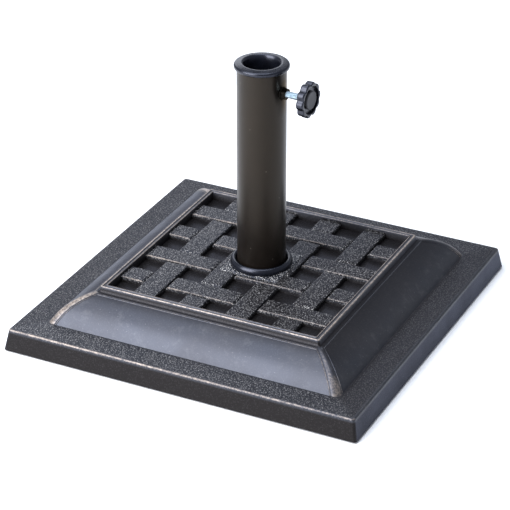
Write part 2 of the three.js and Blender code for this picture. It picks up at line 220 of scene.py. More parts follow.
def powderCoatedSteel():
    # Steel with a baked dark brown powder coat: an even semi-gloss film with faint orange peel.
    material, tree = newMaterial("powderCoatedSteel")
    place = addNode(tree, "TexCoord").outputs["Object"]
    peel = addNode(tree, "TexNoise", {"Vector": place, "Scale": perMetre(2.6), "Detail": 1.0})
    cloud = addNode(tree, "TexNoise", {"Vector": place, "Scale": perMetre(40), "Detail": 3.0})
    dust = addNode(tree, "TexVoronoi", {"Vector": place, "Scale": perMetre(14)})
    dots = addNode(tree, "MapRange", {
        "Value": dust, "From Min": 0.05, "From Max": 0.03, "To Max": 0.3})
    patch = addNode(tree, "MapRange", {"Value": cloud, "From Min": 0.35, "From Max": 0.65})
    film = addNode(tree, "Mix", {
        "Factor": patch, 6: linear("0f0c0a"), 7: linear("14100d")}, data_type="RGBA")
    colour = addNode(tree, "Mix", {"Factor": dots, 6: film, 7: linear("8d877c")}, data_type="RGBA")
    # painted shade: black on the nut and weld and on the tube round them, with a darker, metallic reflection
    nutShade = addNode(tree, "Attribute", attribute_name="nutShade").outputs["Fac"]
    colour = addNode(tree, "Mix", {
        "Factor": nutShade, 6: colour, 7: linear("0a0a09")}, data_type="RGBA")
    darkenedReflection = addNode(tree, "Math", {0: nutShade, 1: 0.85}, operation="MULTIPLY")
    rough = addNode(tree, "MapRange", {
        "Value": cloud, "From Min": 0.3, "From Max": 0.7, "To Min": 0.28, "To Max": 0.36})
    bump = addNode(tree, "Bump", {"Height": peel, "Strength": 1.0, "Distance": 0.02 * mm})
    shader = addNode(tree, "BsdfPrincipled", {
        "Base Color": colour, "Metallic": darkenedReflection, "Roughness": rough, "IOR": 1.52, "Specular IOR Level": 0.25,
        "Specular Tint": linear("fff0de"), "Normal": bump})
    addNode(tree, "OutputMaterial", {"Surface": shader})
    return material


def mouldedPlastic(name, dark, light, roughness, grainSize, grainDepth):
    # Injection-moulded polypropylene: a satin skin with fine spark-eroded texture and slight flow patches.
    material, tree = newMaterial(name)
    place = addNode(tree, "TexCoord").outputs["Object"]
    flow = addNode(tree, "TexNoise", {"Vector": place, "Scale": perMetre(12), "Detail": 3.0})
    grit = addNode(tree, "TexNoise", {"Vector": place, "Scale": perMetre(grainSize), "Detail": 2.0})
    patch = addNode(tree, "MapRange", {"Value": flow, "From Min": 0.3, "From Max": 0.7})
    colour = addNode(tree, "Mix", {
        "Factor": patch, 6: linear(dark), 7: linear(light)}, data_type="RGBA")
    rough = addNode(tree, "MapRange", {
        "Value": patch, "To Min": roughness - 0.04, "To Max": roughness + 0.05})
    bump = addNode(tree, "Bump", {"Height": grit, "Strength": 1.0, "Distance": grainDepth * mm})
    # painted reflection: the bluish specular tint stands in for a blue sky
    shader = addNode(tree, "BsdfPrincipled", {
        "Base Color": colour, "Roughness": rough, "IOR": 1.57,
        "Specular Tint": linear("ccd0e2"), "Normal": bump})
    addNode(tree, "OutputMaterial", {"Surface": shader})
    return material


def zincPlatedSteel():
    # Blue-passivated zinc on steel: bright cold metal with a faint crystal mottle.
    material, tree = newMaterial("zincPlatedSteel")
    place = addNode(tree, "TexCoord").outputs["Object"]
    mottle = addNode(tree, "TexNoise", {"Vector": place, "Scale": perMetre(2.2), "Detail": 3.0})
    patch = addNode(tree, "MapRange", {"Value": mottle, "From Min": 0.3, "From Max": 0.7})
    colour = addNode(tree, "Mix", {
        "Factor": patch, 6: linear("a9bcc8"), 7: linear("c9dae3")}, data_type="RGBA")
    rough = addNode(tree, "MapRange", {"Value": patch, "To Min": 0.36, "To Max": 0.48})
    bump = addNode(tree, "Bump", {"Height": mottle, "Strength": 1.0, "Distance": 0.02 * mm})
    shader = addNode(tree, "BsdfPrincipled", {
        "Base Color": colour, "Roughness": rough, "Metallic": 1.0, "Normal": bump})
    addNode(tree, "OutputMaterial", {"Surface": shader})
    return material


def castCement():
    # Cement mortar poured into the shell: pale grey, dry and matt, with air pores and sand.
    material, tree = newMaterial("castCement")
    place = addNode(tree, "TexCoord").outputs["Object"]
    sand = addNode(tree, "TexNoise", {
        "Vector": place, "Scale": perMetre(1.6), "Detail": 4.0, "Roughness": 0.7})
    cloud = addNode(tree, "TexNoise", {"Vector": place, "Scale": perMetre(70), "Detail": 4.0})
    pore = addNode(tree, "TexVoronoi", {"Vector": place, "Scale": perMetre(7)})
    pit = addNode(tree, "MapRange", {"Value": pore, "From Min": 0.2, "From Max": 0.12})
    patch = addNode(tree, "MapRange", {"Value": cloud, "From Min": 0.3, "From Max": 0.7})
    colour = addNode(tree, "Mix", {
        "Factor": patch, 6: linear("8a8780"), 7: linear("a8a49b")}, data_type="RGBA")
    sandy = addNode(tree, "Math", {0: sand, 1: 0.4}, operation="MULTIPLY")
    colour = addNode(tree, "Mix", {"Factor": sandy, 6: colour, 7: linear("6f6c66")}, data_type="RGBA")
    colour = addNode(tree, "Mix", {"Factor": pit, 6: colour, 7: linear("56534e")}, data_type="RGBA")
    rough = addNode(tree, "MapRange", {
        "Value": sand, "From Min": 0.3, "From Max": 0.7, "To Min": 0.82, "To Max": 0.95})
    height = addNode(tree, "Math", {0: sandy, 1: pit}, operation="SUBTRACT")
    bump = addNode(tree, "Bump", {"Height": height, "Strength": 1.0, "Distance": 0.5 * mm})
    shader = addNode(tree, "BsdfPrincipled", {
        "Base Color": colour, "Roughness": rough, "IOR": 1.5, "Normal": bump})
    addNode(tree, "OutputMaterial", {"Surface": shader})
    return material


def paleFloor():
    # Painted studio floor: near white and matt, with a faint unevenness.
    material, tree = newMaterial("paleFloor")
    place = addNode(tree, "TexCoord").outputs["Object"]
    cloud = addNode(tree, "TexNoise", {"Vector": place, "Scale": perMetre(400)})
    colour = addNode(tree, "Mix", {
        "Factor": cloud, 6: linear("f5f5f5"), 7: linear("f8f8f7")}, data_type="RGBA")
    shader = addNode(tree, "BsdfPrincipled", {
        "Base Color": colour, "Roughness": 0.9, "Specular IOR Level": 0.1})
    addNode(tree, "OutputMaterial", {"Surface": shader})
    return material


finishes = {
    "bronzed_resin": bronzedResin(),
    "cast_cement": castCement(),
    "foot_rubber": mouldedPlastic("footRubber", "1a1a1a", "232222", 0.75, 0.9, 0.05),
    "powder_coated_steel": powderCoatedSteel(),
    "zinc_plated_steel": zincPlatedSteel(),
    "black_plastic": mouldedPlastic("blackPolypropylene", "08090e", "0c0e15", 0.27, 0.8, 0.02),
    "grey_plastic": mouldedPlastic("greyPolypropylene", "302f2f", "393837", 0.5, 0.7, 0.03),
    "white_nylon": mouldedPlastic("whiteNylon", "cfccc2", "dedbd2", 0.45, 0.8, 0.02),
}
print("materials made:", len(finishes))


def makeStage():
    bm = bmesh.new()
    bmesh.ops.create_grid(bm, x_segments=2, y_segments=2, size=6)     # metres, past every view's edge
    mesh = bpy.data.meshes.new("floor")
    bm.to_mesh(mesh)
    bm.free()
    floor = bpy.data.objects.new("floor", mesh)
    floor.data.materials.append(paleFloor())
    bpy.context.scene.collection.objects.link(floor)


def areaLight(name, place, aim, width, height, power, colour):
    light = bpy.data.lights.new(name, "AREA")
    light.shape = "RECTANGLE"
    light.size, light.size_y = width, height
    light.energy = power
    light.color = linear(colour)[:3]
    lamp = bpy.data.objects.new(name, light)
    lamp.location = place
    lamp.rotation_euler = (Vector(aim) - Vector(place)).to_track_quat("-Z", "Y").to_euler()
    bpy.context.scene.collection.objects.link(lamp)


makeStage()
areaLight("keySoftbox", (-0.97, -1.78, 1.3), (0, -0.05, 0.05), 1.9, 2.0, 124, "fafbff")
areaLight("skyPanel", (-0.3, -0.2, 2.6), (0, 0, 0.05), 2.4, 2.4, 78, "eaf0fb")
areaLight("backPanel", (-1.6, 2.3, 1.3), (0, 0, 0.05), 1.6, 1.2, 13, "eef1f8")
world = bpy.data.worlds.new("studio")
world.use_nodes = True
world.node_tree.nodes["Background"].inputs["Color"].default_value = linear("dbe2f0")
world.node_tree.nodes["Background"].inputs["Strength"].default_value = 0.52
bpy.context.scene.world = world
bpy.context.scene.view_settings.view_transform = "Standard"
print("camera, floor and light made")


def finishPiece(bm, name, body, slotName, nodes=(), sharpAngle=38.0, clean=True):
    # brings a drawn piece to metres, gives it its material and makes it ride on its body
    if clean:
        bmesh.ops.remove_doubles(bm, verts=bm.verts, dist=1e-4)
        bmesh.ops.recalc_face_normals(bm, faces=bm.faces)
    bmesh.ops.scale(bm, vec=(mm, mm, mm), verts=bm.verts)
    mesh = bpy.data.meshes.new(name)
    bm.to_mesh(mesh)
    bm.free()
    for polygon in mesh.polygons:
        polygon.use_smooth = True
    mesh.set_sharp_from_angle(angle=math.radians(sharpAngle))
    mesh.materials.append(finishes[slotName])
    piece = bpy.data.objects.new(name, mesh)
    bpy.context.scene.collection.objects.link(piece)
    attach(piece, body)
    if nodes:
        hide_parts(*nodes)
    print("made", name, "with", len(mesh.polygons), "faces")


def loopEdges(bm, ring):
    return [bm.edges.get((ring[i - 1], ring[i])) for i in range(len(ring))]


def growRing(bm, ring):
    # draws one more row of faces out of a closed ring and returns the new ring, in the same order
    made = bmesh.ops.extrude_edge_only(bm, edges=loopEdges(bm, ring))["geom"]
    fresh = {v for v in made if isinstance(v, bmesh.types.BMVert)}
    partner = {}
    for v in fresh:
        for edge in v.link_edges:
            if edge.other_vert(v) not in fresh:
                partner[edge.other_vert(v)] = v
    return [partner[v] for v in ring]


def arc(middle, radius, start, end, steps):
    # points of an arc in a profile, angles in degrees
    points = []
    for step in range(steps + 1):
        angle = math.radians(start + (end - start) * step / steps)
        points.append((middle[0] + radius * math.cos(angle), middle[1] + radius * math.sin(angle)))
    return points


def spun(points, steps=96):
    # a closed profile of (radius, height) turned round Z
    bm = bmesh.new()
    verts = [bm.verts.new((radius, 0, height)) for radius, height in points]
    edges = [bm.edges.new((verts[i - 1], verts[i])) for i in range(len(verts))]
    bmesh.ops.spin(bm, geom=verts + edges, axis=(0, 0, 1), cent=(0, 0, 0), steps=steps,
                   angle=2 * math.pi, use_merge=True)
    return bm


def between(value, points):
    # straight interpolation through a few (place, value) points
    if value <= points[0][0]:
        return points[0][1]
    for (x0, y0), (x1, y1) in zip(points, points[1:]):
        if value <= x1:
            return y0 + (y1 - y0) * (value - x0) / (x1 - x0)
    return points[-1][1]


shellBox = nodeBox("base_shell")
shell = {
    "skin": 3.0,
    "plateHalf": shellBox[1].x,
    "rimZ": shellBox[0].z,
    "plateTopHalf": 220.4,
    "plateTopZ": 28.5,
    "plateCorner": 3.4,
    "edgeRound": 2.4,
    "frustumFoot": 186.7,
    "frustumTop": 144.5,
    "frustumTopZ": 59.0,
    "bulge": 5.6,
    "hipFoot": 8.0,          # radius of the rounded hip at its foot
    "hipTop": 2.5,
    "borderFoot": 2.0,       # plain strip beside the hip, outside the sunk panel
    "borderTop": 3.2,
    "panelTop": 2.5,         # plain strip under the frame
    "frameZ": shellBox[1].z,
    "panHalf": 133.4,
    "panFloor": 55.2,
    "ceilingZ": 52.2,
    "strapPitch": 59.6,
    "strapTop": 62.2,
    "strapFlat": 40.0,
    "strapReach": 46.0,
    "straps": 4,
    "bossHalf": 38.1,
    "bossTop": 63.7,
    "bossHole": 32.6,
    # how far each hip is rubbed, with painted highlight that is strongest on the left hips: front left, front
    # right, back right, back left
    "hipRubAndHighlight": [0.75, 0.3, 0.3, 0.85],
    # how far the plate's border is rubbed and lit, by angle from +X: low shares on the right give less
    # painted highlight and more painted shade
    "sideRubAndLight": [(-136, 0.6), (-134, 1.0), (-90, 0.75), (-46, 0.65),
                (-44, 0.15), (44, 0.2), (46, 0.5), (134, 0.6)],
}
arcSteps = 4                 # half the steps round each corner of the big rings
bossArcSteps = 2
strapEdge = [12.2, 12.9, 13.5, 13.9, 14.4]        # grid lines along a strap's long edge
strapDip = [15.6, 17.2, 18.6, 19.6]               # grid lines where the other strap dips
strapSide = [(12.2, 1.0), (12.9, 0.985), (13.5, 0.9), (13.9, 0.4), (14.4, 0.0)]
edgeWear = [(12.2, 0.0), (12.9, 1.0), (13.5, 0.9), (13.9, 0.0)]
panelEdge = [(-0.9, 0.0), (-0.4, -0.45), (0.0, -0.45), (0.4, 0.0), (0.9, 0.0), (1.4, -0.4)]
panelWear = [(-0.4, 0.0), (0.3, 0.4), (0.9, 0.4), (1.4, 0.0)]
rightSide, leftSide = 1, 3      # sides in the order that a ring runs, where painted shade is added
panelLines = [-0.9, -0.4, 0.0, 0.4, 0.9, 1.4, 2.6, 6.0]   # ring places beside a hip


def strapCentre(index):
    return (index - (shell["straps"] - 1) / 2) * shell["strapPitch"]


def gridLines():
    # places of the woven panel's grid lines, the same along X and Y
    lines = {0.0}
    for centre in (strapCentre(2), strapCentre(3)):
        for offset in strapEdge + strapDip:
            lines.update((centre - offset, centre + offset))
    lines.update((shell["bossHalf"] - 1.7, shell["bossHalf"] - 0.7, shell["bossHalf"]))
    lines = {line for line in lines if line < shell["panHalf"] - 5}
    lines.update(shell["panHalf"] - back for back in (0.0, 0.8, 1.7, 2.8, 4.0))
    return sorted({round(sign * line, 3) for line in lines for sign in (-1, 1)})


def strapHeight(across, along, parity):
    # height share, and share of rubbed edge with painted highlight, of the straps that run along one axis, at
    # one place
    best, wornAndLit = 0.0, 0.0
    dip = shell["strapReach"] - shell["strapFlat"]
    for row in range(shell["straps"]):
        offset = across - strapCentre(row)
        side = between(abs(offset), strapSide)
        if side <= 0.0:
            continue
        for crossing in range(-1, shell["straps"] + 1):
            if (row + crossing) % 2 != parity:
                continue
            reach = abs(along - strapCentre(crossing)) - shell["strapFlat"]
            if reach >= dip:
                continue
            share = side * math.sqrt(1 - max(reach, 0.0) ** 2 / dip ** 2)
            if share > best:
                edge = between(abs(offset), edgeWear)
                # painted highlight: the strap's front or left edge, towards the light, gets the full share
                # and the far edge 0.35
                best, wornAndLit = share, edge * (1.0 if offset < 0 else 0.35)
    return best, wornAndLit


def weaveAt(x, y):
    # height, wear with painted highlight and painted shade, and grain of the woven panel
    overX, wornLitX = strapHeight(y, x, 1)
    overY, wornLitY = strapHeight(x, y, 0)
    share = max(overX, overY)
    wearAndPaintedLight = 0.8 * wornLitX if overX >= overY else 0.45 * wornLitY
    z = shell["panFloor"] + (shell["strapTop"] - shell["panFloor"]) * share
    shade = between(x, [(-70, -0.25), (60, -0.85)])     # painted shade, darker towards the right
    # over a strap the painted shade is mixed in away from its rubbed edges; between the straps the pan floor
    # gets dark painted shade
    if share > 0.7:
        wearAndPaintedLight = wearAndPaintedLight * share + shade * (1 - wearAndPaintedLight)
    else:
        wearAndPaintedLight = between(share, [(0.0, -0.9), (0.5, -0.7), (0.7, shade)])
    return z, wearAndPaintedLight, between(share, [(0.0, 0.35), (0.5, 0.5), (0.75, 1.5), (0.93, 1.5), (1.0, 1.0)])


def ringPlaces(lines, half, corner, steps):
    # points of a rounded square ring that follows the given places along each side
    count = len(lines) - 1
    middle = half - corner
    points = []
    for side in range(4):
        turn = Matrix.Rotation(side * math.pi / 2, 2)
        for j in range(count):
            if j <= steps:
                angle = math.radians(225 + 45 * j / steps)
                x, y = -middle + corner * math.cos(angle), -middle + corner * math.sin(angle)
            elif j >= count - steps:
                angle = math.radians(270 + 45 * (j - count + steps) / steps)
                x, y = middle + corner * math.cos(angle), -middle + corner * math.sin(angle)
            else:
                x, y = lines[j], -half
            points.append(turn @ Vector((x, y)))
    return points


def hipLines(count, half, corner, border):
    # places along a side: close together beside the hips and even between them
    start = -(half - corner)
    near = [start + border + offset for offset in panelLines]
    first = arcSteps + len(near)
    inner = count - 2 * first
    even = [near[-1] + (-2 * near[-1]) * (i + 1) / inner for i in range(inner - 1)]
    left = [start] * (arcSteps + 1) + near
    return left + even + [-place for place in reversed(left)]


def orderedRing(verts):
    # a closed ring from its front left corner, anticlockwise from above
    return sorted(verts, key=lambda v: (math.atan2(v.co.y, v.co.x) + 0.75 * math.pi + 1e-4) % (2 * math.pi))


def makeBaseShell():
    lines = gridLines()
    count = len(lines) - 1
    bm = bmesh.new()
    wearAndPaintedLightLayer = bm.verts.layers.float.new("wearAndPaintedLight")
    grainLayer = bm.verts.layers.float.new("grain")

    def put(v, place, wearAndPaintedLight, grain):
        v.co = place
        v[wearAndPaintedLightLayer], v[grainLayer] = wearAndPaintedLight, grain

    def addRing(ring, points, z, wearAndPaintedLight, grain):
        ring = growRing(bm, ring)
        for v, point in zip(ring, points):
            put(v, (point.x, point.y, z), wearAndPaintedLight, grain)
        return ring

    # woven panel: a grid whose lines follow the straps, lifted to the height of the weave
    bmesh.ops.create_grid(bm, x_segments=count, y_segments=count, size=1)
    for v in bm.verts:
        x = lines[round((v.co.x + 1) / 2 * count)]
        y = lines[round((v.co.y + 1) / 2 * count)]
        z, wearAndPaintedLight, grain = weaveAt(x, y)
        put(v, (x, y, z), wearAndPaintedLight, grain)
    bossHalf = shell["bossHalf"]
    inside = [f for f in bm.faces if max(abs(c) for c in f.calc_center_median().xy) < bossHalf]
    bmesh.ops.delete(bm, geom=inside, context="FACES")
    edges = [e for e in bm.edges if e.is_boundary]
    outer = {v for e in edges for v in e.verts if max(abs(v.co.x), abs(v.co.y)) > bossHalf + 1}
    inner = {v for e in edges for v in e.verts} - outer
    outer, inner = orderedRing(outer), orderedRing(inner)

    # square boss with the round hole for the stem's socket
    bossLines = [line for line in lines if abs(line) <= bossHalf + 1e-3]
    steps = len(bossLines) - 1
    evenLines = [bossHalf * (2 * i / steps - 1) for i in range(steps + 1)]
    top = shell["bossTop"]
    # how far in, corner radius, depth below the top, grain and places of each row of its rounded edge
    bossEdge = [(0.2, 1.6, 1.9, 1.4, bossLines), (0.5, 1.7, 1.2, 2.2, bossLines),
                (1.1, 1.8, 0.6, 2.6, bossLines), (2.1, 1.8, 0.2, 2.6, evenLines),
                (3.4, 1.6, 0.0, 2.2, evenLines)]
    ring = inner
    for back, corner, drop, grain, places in bossEdge:
        half = bossHalf - back
        scaled = [place * half / bossHalf for place in places]
        ring = addRing(ring, ringPlaces(scaled, half, corner, bossArcSteps), top - drop, 0.15, grain)
    hole = shell["bossHole"]
    holeEdge = [(hole + 1.2, top, 1.8), (hole + 0.5, top, 0.5), (hole + 0.15, top - 0.15, 0.0),
                (hole, top - 0.5, 0.0), (hole, shell["panFloor"], 0.0), (hole, shell["ceilingZ"], 0.0)]
    for radius, z, grain in holeEdge:
        turns = [math.radians(225 + 360 * i / len(ring)) for i in range(len(ring))]
        circle = [Vector((radius * math.cos(a), radius * math.sin(a))) for a in turns]
        ring = addRing(ring, circle, z, 0.0, grain)
    holeRing = ring

    # frame round the panel: the pan's wall, then two beads with a groove between them, each row with its
    # half width, corner radius, drop below the frame's top and wear; negative values paint shade in the
    # groove and down the walls
    wallDraft = 1.0 / (shell["frameZ"] - shell["panFloor"])
    for v in outer:
        stand = (v.co.z - shell["panFloor"]) * wallDraft
        for axis in (0, 1):
            if abs(v.co[axis]) > shell["panHalf"] - 1e-3:
                v.co[axis] += math.copysign(stand, v.co[axis])
        # painted shade on the pan's wall
        v[wearAndPaintedLightLayer] = -0.9
    ring = outer
    frameTop = shell["frameZ"]
    panSide = [(134.2, 1.5, -1.0, -0.2), (134.45, 1.6, -0.35, 0.4), (134.8, 1.7, -0.05, 0.6),
               (135.5, 1.8, 0.0, 0.5), (136.0, 1.9, -0.3, 0.1), (136.4, 2.0, -0.9, 0.0)]
    for half, corner, drop, wearAndPaintedLight in panSide:
        scaled = [line * half / shell["panHalf"] for line in lines]
        ring = addRing(ring, ringPlaces(scaled, half, corner, arcSteps), frameTop + drop, wearAndPaintedLight, 0.1)
    outSide = [(138.0, 2.1, -0.9, 0.0), (138.5, 2.2, -0.35, 0.1), (139.2, 2.3, -0.02, 0.7),
               (140.0, 2.4, 0.0, 1.0), (140.6, 2.5, -0.4, 1.0), (140.9, 2.5, -1.1, 0.0),
               (141.5, 2.5, -3.5, -0.9), (142.1, 2.5, -5.8, -0.9), (142.7, 2.5, -6.5, -0.9),
               (143.7, 2.5, -6.85, -0.8)]
    for half, corner, drop, wearAndPaintedLight in outSide:
        places = hipLines(count, half, corner, shell["borderTop"])
        ring = addRing(ring, ringPlaces(places, half, corner, arcSteps), frameTop + drop, wearAndPaintedLight, 0.1)

    # convex frustum with rounded hips and a sunk panel on each side
    rise = shell["frustumTopZ"] - shell["plateTopZ"]
    run = shell["frustumFoot"] - shell["frustumTop"]
    slant = math.hypot(rise, run)
    panelTop = shell["panelTop"]
    downs = [0.0, 0.8] + [panelTop + offset for offset in panelLines[:-2]]
    downs += [panelTop + 2.6, 8, 12, 17, 22, 27, 32, 37, 42, 46, 49, 51, slant]
    # painted shade on the frustum's faces just under the frame
    shadeUnderFrame = [(0.0, -0.8), (panelTop - 0.8, -0.7), (panelTop, -0.35), (18.0, 0.0)]
    for down in downs:
        t = 1 - down / slant
        bulge = shell["bulge"] * 4 * t * (1 - t)
        half = shell["frustumFoot"] - run * t + bulge * rise / slant
        z = shell["plateTopZ"] + rise * t + bulge * run / slant
        corner = shell["hipFoot"] + (shell["hipTop"] - shell["hipFoot"]) * t
        border = shell["borderFoot"] + (shell["borderTop"] - shell["borderFoot"]) * t
        places = hipLines(count, half, corner, border)
        ring = growRing(bm, ring)
        for i, (v, point) in enumerate(zip(ring, ringPlaces(places, half, corner, arcSteps))):
            j = i % count
            fromHip = half - corner - abs(places[j]) if arcSteps < j < count - arcSteps else 0.0
            inset = min(fromHip - border, down - panelTop)
            sink = between(inset, panelEdge)
            outwards = Vector((0, -1)) if arcSteps < j < count - arcSteps else Vector((0, 0))
            shift = Matrix.Rotation((i // count) * math.pi / 2, 2) @ outwards * (sink * rise / slant)
            hipWearAndHighlight = 1 - between(fromHip, [(0.0, 0.0), (border - 0.6, 1.0)])
            hip = (i // count + (j > count / 2)) % 4
            hipWearAndHighlight *= shell["hipRubAndHighlight"][hip] * between(down, [(0, 0.5), (4, 1.0)])
            rubAndHighlight = max(hipWearAndHighlight, between(inset, panelWear))
            wearAndPaintedLight = rubAndHighlight
            if rubAndHighlight < 0.05:
                wearAndPaintedLight = between(down, shadeUnderFrame)
                # painted shade on the left face's sunk panel
                if i // count == leftSide:
                    wearAndPaintedLight -= 0.6 * between(inset, [(1.4, 0.0), (4.0, 1.0)])
            # painted shade on the right face, darkest at the top
            if i // count == rightSide and down > panelTop:
                wearAndPaintedLight = rubAndHighlight + between(down, [(panelTop, -0.75), (40.0, 0.05)])
            put(v, (point.x + shift.x, point.y + shift.y, z + sink * run / slant), wearAndPaintedLight, 0.0)

    # flat border with leather grain, rounded edge and drafted side
    plateTop, plateTopZ = shell["plateTopHalf"], shell["plateTopZ"]
    edge = shell["edgeRound"]
    border = [(188.0, 7.8, 0.0, 0.0, 0.5), (190.0, 7.5, 0.0, 0.0, 1.0), (196.0, 7.0, 0.0, 0.0, 1.0),
              (204.0, 6.0, 0.0, 0.0, 1.0), (211.0, 5.0, 0.0, 0.0, 1.0), (216.0, 4.0, 0.0, 0.0, 1.0)]
    edgeArc = arc((plateTop - edge, plateTopZ - edge), edge, 90, 0, 6)
    arcWear = [0.1, 0.45, 0.85, 1.0, 0.8, 0.3, 0.05]
    border += [(half, shell["plateCorner"], z - plateTopZ, wearAndPaintedLight, 0.6)
               for (half, z), wearAndPaintedLight in zip(edgeArc, arcWear)]
    draft = (shell["plateHalf"] - plateTop) / (plateTopZ - edge - shell["rimZ"])
    # painted shade down the drafted side
    for z in (23.5, 19.0, 13.0, 8.0, 4.0, 2.6):
        half = plateTop + draft * (plateTopZ - edge - z)
        border.append((half, shell["plateCorner"], z - plateTopZ, -1.0, 0.2))
    border.append((shell["plateHalf"] - 0.5, shell["plateCorner"], shell["rimZ"] - plateTopZ, -0.4, 0.2))
    for half, corner, drop, wearAndPaintedLight, grain in border:
        places = hipLines(count, half, corner, shell["borderFoot"])
        ring = addRing(ring, ringPlaces(places, half, corner, arcSteps), plateTopZ + drop, wearAndPaintedLight, grain)
        for v in ring:
            # the share sets painted highlight and painted shade by side, and the grain, which is stronger on
            # the left
            share = between(math.degrees(math.atan2(v.co.y, v.co.x)), shell["sideRubAndLight"])
            v[grainLayer] *= 0.45 + 0.55 * share
            if wearAndPaintedLight > 0.0:
                v[wearAndPaintedLightLayer] *= share
            elif wearAndPaintedLight == 0.0:
                # painted shade on the border's top, darker where the side's share is low, on the right
                v[wearAndPaintedLightLayer] = between(share, [(0.2, -0.7), (0.6, -0.45), (0.75, -0.1)])

    # inside of the skin, up to the ceiling under the weave
    skin = shell["skin"]
    ledgeZ = plateTopZ - skin
    innerRows = [(shell["plateHalf"] - skin, 1.5, shell["rimZ"]),
                 (plateTop - skin + draft * (skin - edge), 1.5, ledgeZ)]
    for t in (0.0, 0.25, 0.5, 0.75):
        outwards = shell["bulge"] * 4 * t * (1 - t) - skin
        half = shell["frustumFoot"] - run * t + outwards * rise / slant
        innerRows.append((half, 6.0, max(ledgeZ, plateTopZ + rise * t + outwards * run / slant)))
    innerRows = [row for row in innerRows if row[2] < shell["ceilingZ"]]
    innerRows.append((150.0, 4.0, shell["ceilingZ"]))
    for half, corner, z in innerRows:
        places = hipLines(count, half, corner, shell["borderFoot"])
        ring = addRing(ring, ringPlaces(places, half, corner, arcSteps), z, 0.0, 0.1)
    bmesh.ops.bridge_loops(bm, edges=loopEdges(bm, ring) + loopEdges(bm, holeRing))
    bmesh.ops.recalc_face_normals(bm, faces=bm.faces)
    print("base shell: open edges", sum(1 for e in bm.edges if len(e.link_faces) != 2))
    finishPiece(bm, "baseShell", "stand", "bronzed_resin", ["base_shell"], clean=False)


makeBaseShell()


def drawnRings(rows, count, closing):
    # rings of points round Z, drawn from one to the next; a radius or height may be a function
    bm = bmesh.new()
    bmesh.ops.create_circle(bm, cap_ends=closing == "caps", segments=count, radius=1)
    ring = sorted(bm.verts, key=lambda v: (math.atan2(v.co.y, v.co.x) + 1e-4) % (2 * math.pi))
    first = ring
    for index, (radius, height) in enumerate(rows):
        if index:
            ring = growRing(bm, ring)
        for i, v in enumerate(ring):
            angle = 2 * math.pi * i / count
            size = radius(angle) if callable(radius) else radius
            x, y = size * math.cos(angle), size * math.sin(angle)
            v.co = (x, y, height(x, y) if callable(height) else height)
    if closing == "caps":
        bmesh.ops.edgeloop_fill(bm, edges=loopEdges(bm, ring))
    else:
        bmesh.ops.bridge_loops(bm, edges=loopEdges(bm, ring) + loopEdges(bm, first))
    return bm


def hexagon(flats, corner=1000.0):
    # radius of a hexagon by angle, its corners cut back to a circle
    third = math.pi / 3
    return lambda angle: min(flats / 2 / math.cos(angle % third - third / 2), corner)


def thread(radius, depth, pitch, height):
    # radius of a screw thread by angle, at one height
    def radiusAt(angle):
        phase = (height / pitch - angle / (2 * math.pi)) % 1
        return radius - depth * between(phase, [(0, 0), (0.1, 0), (0.5, 1), (0.6, 1), (1, 0)])
    return radiusAt


def screwRows(size):
    # rows of a hexagon-head screw, from the thread's tip towards the head
    rows = [(size["radius"] - 1.5 * size["depth"], 0.0), (size["radius"] - size["depth"], size["depth"])]
    step = size["pitch"] / 6
    for i in range(1, int(size["threaded"] / step)):
        edge = thread(size["radius"], size["depth"], size["pitch"], i * step)
        rows.append((edge, size["depth"] + i * step))
    flats, head, end = size["flats"], size["length"], size["length"] + size["head"]
    wide = flats / math.sqrt(3)
    rows += [(size["radius"], size["threaded"] + 1), (size["radius"], head), (flats * 0.46, head)]
    rows += [(flats * 0.48, head + 0.3), (hexagon(flats, wide * 0.995), head + 0.35)]
    rows += [(hexagon(flats, wide), end - 0.8), (hexagon(flats, wide * 0.93), end - 0.25)]
    return rows + [(flats * 0.46, end), (flats * 0.3, end), (flats * 0.28, end - 0.15)]


clampJoint = next(j for j in record["behaviour"]["joints"] if j["name"] == "clamp_turn")
screwOut = -Vector(clampJoint["axis"])
screwTurn = math.atan2(screwOut.y, screwOut.x)
screwHeight = clampJoint["pos_m"][2] / mm


def ontoScrew(bm, turn=0.0):
    # lays a part that is drawn along +Z on the clamp screw's axis, pointing outwards
    place = (Matrix.Translation((0, 0, screwHeight)) @ Matrix.Rotation(screwTurn, 4, "Z")
             @ Matrix.Rotation(turn, 4, "X") @ Matrix.Rotation(math.pi / 2, 4, "Y"))
    bmesh.ops.transform(bm, matrix=place, verts=bm.verts)
    return bm


tubeBox = nodeBox("stem_tube")
stem = {
    "radius": tubeBox[1].x,
    "wall": 1.5,
    "columns": 96,
    "screwHole": 4.6,
    "holeSpan": 3,          # columns and rows on each side of the screw hole
}


